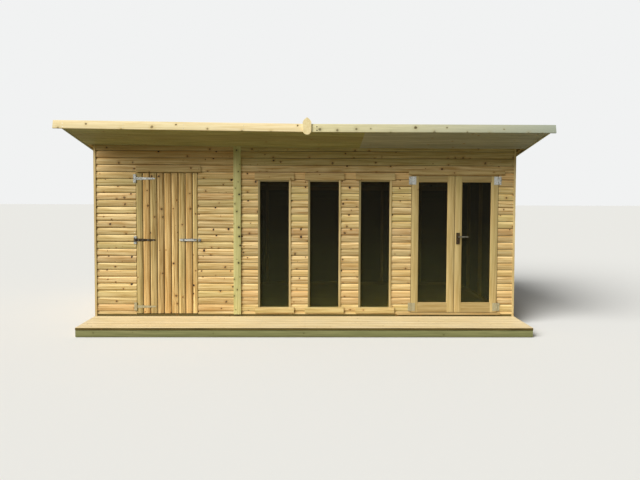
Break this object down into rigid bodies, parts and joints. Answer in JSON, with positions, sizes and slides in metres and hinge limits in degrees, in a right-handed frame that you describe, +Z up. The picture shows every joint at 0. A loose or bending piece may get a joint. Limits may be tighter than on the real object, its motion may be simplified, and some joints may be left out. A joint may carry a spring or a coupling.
{
  "type": "summerhouse",
  "caption": "Wide timber summerhouse with a shed end: pent roof falling to the back, boarded door, tall fixed windows and glazed double doors on a boarded deck.",
  "frame": {"origin": "on the ground under the middle of the front wall's outer face, on the underside of the middle floor joist", "axes": "+X to the right along the front, +Y to the back, +Z up"},
  "size_m": [5.9049, 3.2283, 2.6227],
  "materials": {
    "cladding": "planed softwood, green-tinged",
    "trim": "planed softwood",
    "framing": "sawn softwood",
    "floor": "tongue and groove softwood",
    "decking": "pale pressure-treated softwood",
    "skirt": "green pressure-treated softwood",
    "soffit": "softwood boards in shade",
    "fascia": "pale softwood",
    "finial": "pale softwood",
    "door_boards": "tongue and groove softwood",
    "door_frame": "planed softwood",
    "felt": "mineral roofing felt",
    "glass": "clear",
    "galvanised_steel": "galvanised",
    "dark_brass": "aged"
  },
  "bodies": {
    "building": {"floor_joists": "framing", "floor_panel": "floor", "deck_boards": "decking", "deck_skirt": "skirt", "base_rails": "trim", "wall_plates": "framing", "front_studs": "framing", "front_rails": "framing", "wall_studs": "framing", "front_wall_piers": "cladding", "front_wall_head": "cladding", "front_wall_infills": "cladding", "left_wall": "cladding", "right_wall": "cladding", "back_wall": "cladding", "corner_beads": "trim", "cover_strip": "trim", "window_frames": "trim", "window_glass": "glass", "window_trims": "trim", "door_trims": "trim", "french_threshold": "trim", "door_stops": "trim", "rafters": "framing", "roof_boards": "soffit", "roof_felt": "felt", "front_soffit": "soffit", "bargeboards": "fascia", "front_fascia": "fascia", "rear_fascia": "fascia", "finial": "finial", "hinge_plates": "galvanised_steel", "bolt_keep": "galvanised_steel"},
    "shed_door": {"shed_door_boards": "door_boards", "shed_door_frame": "door_frame", "shed_door_straps": "galvanised_steel", "bolt_guide": "galvanised_steel"},
    "door_bolt": {"bolt_rod": "galvanised_steel"},
    "french_left_leaf": {"french_left_frame": "door_frame", "french_left_glass": "glass", "french_left_hinges": "galvanised_steel"},
    "french_right_leaf": {"french_right_frame": "door_frame", "french_right_glass": "glass", "french_right_hinges": "galvanised_steel", "handle_plate": "dark_brass"},
    "door_lever": {"lever": "dark_brass"}
  },
  "joints": [
    {"name": "shed_door_hinge", "type": "hinge", "parent": "building", "child": "shed_door", "pos_m": [-2.201, -0.006, 1.068], "axis": [0, 0, -1], "range_deg": [0, 110]},
    {"name": "door_bolt_slide", "type": "slide", "parent": "shed_door", "child": "door_bolt", "axis": [1, 0, 0], "range_m": [0, 0.044]},
    {"name": "french_left_hinge", "type": "hinge", "parent": "building", "child": "french_left_leaf", "pos_m": [1.384, -0.006, 1.06], "axis": [0, 0, -1], "range_deg": [0, 105]},
    {"name": "french_right_hinge", "type": "hinge", "parent": "building", "child": "french_right_leaf", "pos_m": [2.522, -0.006, 1.06], "axis": [0, 0, 1], "range_deg": [0, 105]},
    {"name": "door_lever_turn", "type": "hinge", "parent": "french_right_leaf", "child": "door_lever", "pos_m": [1.998, -0.03, 1.168], "axis": [0, 1, 0], "range_deg": [0, 45], "stiffness_Nm_per_rad": 1, "springref_deg": -22.92}
  ]
}
